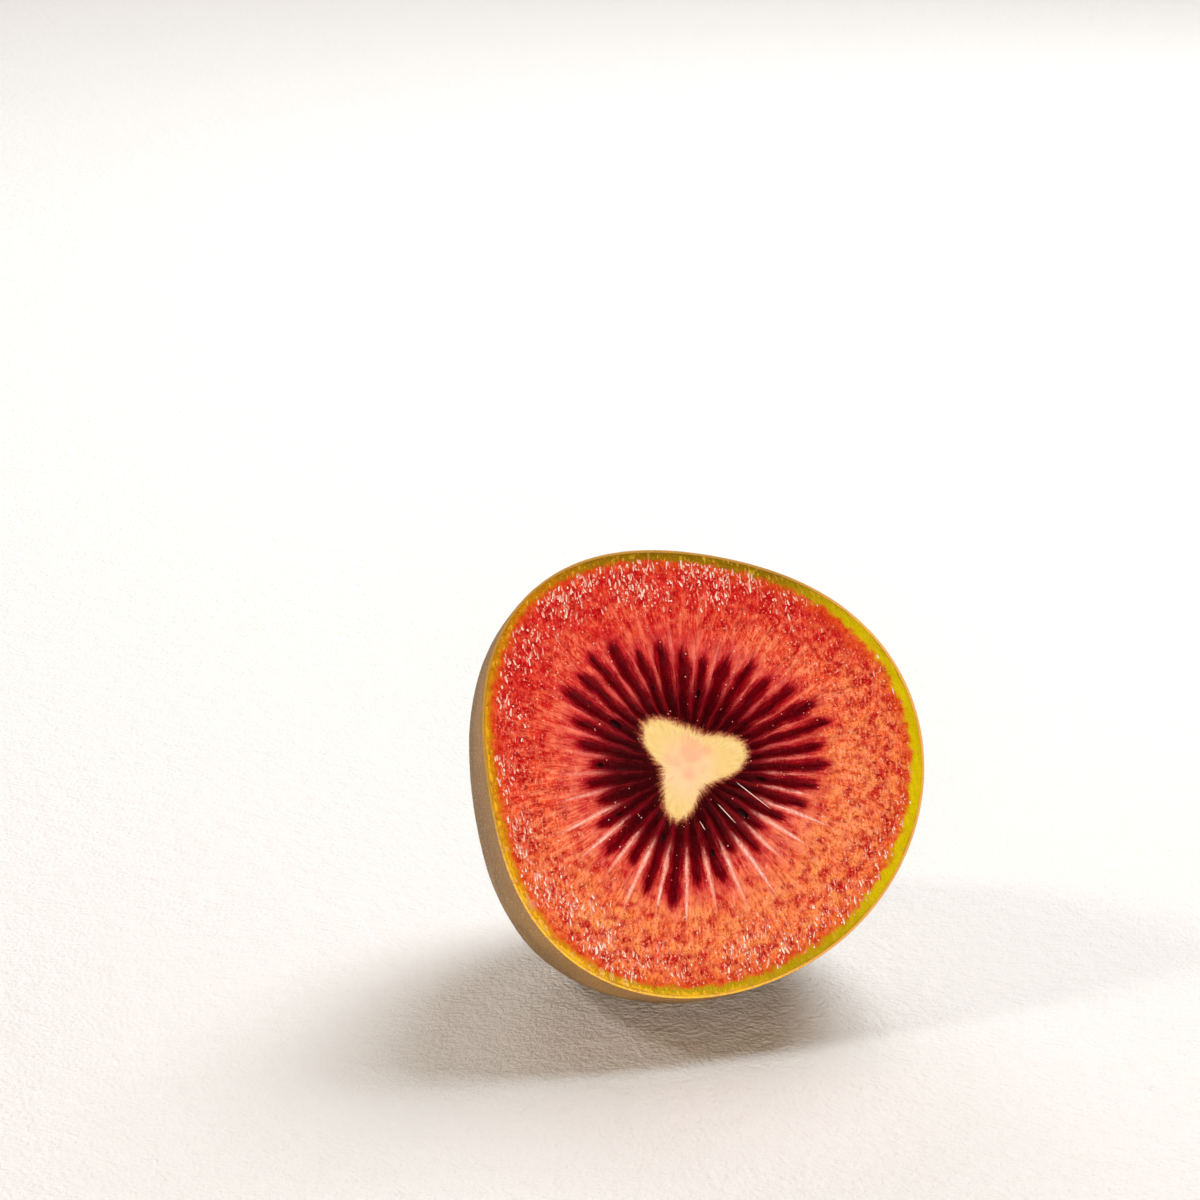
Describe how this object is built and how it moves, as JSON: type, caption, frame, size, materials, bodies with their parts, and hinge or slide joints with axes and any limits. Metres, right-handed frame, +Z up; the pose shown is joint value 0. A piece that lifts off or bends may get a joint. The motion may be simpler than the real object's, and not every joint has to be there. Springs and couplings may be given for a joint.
{
  "type": "kiwi fruit",
  "caption": "Half of a red-fleshed kiwi fruit, cut straight across, lying on its side with the cut face leaning back; shows flesh, seed rays, core and stem end.",
  "frame": {"origin": "middle of the small flat spot on the fruit's side that it rests on", "axes": "+Z up; the cut face looks towards -Y and leans back 30 degrees from upright; +X to the right of the cut face as seen from the front"},
  "size_m": [0.0498, 0.0452, 0.0498],
  "materials": {
    "flesh": "wet coral-red flesh, finely speckled, with dark red seed rays",
    "skin": "matt olive-brown skin with a fine short fuzz",
    "core": "pale cream, matt and moist",
    "seed": "black, glossy and wet",
    "stem_scar": "dry brown bark, papery at the sepals"
  },
  "bodies": {
    "root": {"kiwi_half": "flesh"}
  },
  "joints": []
}
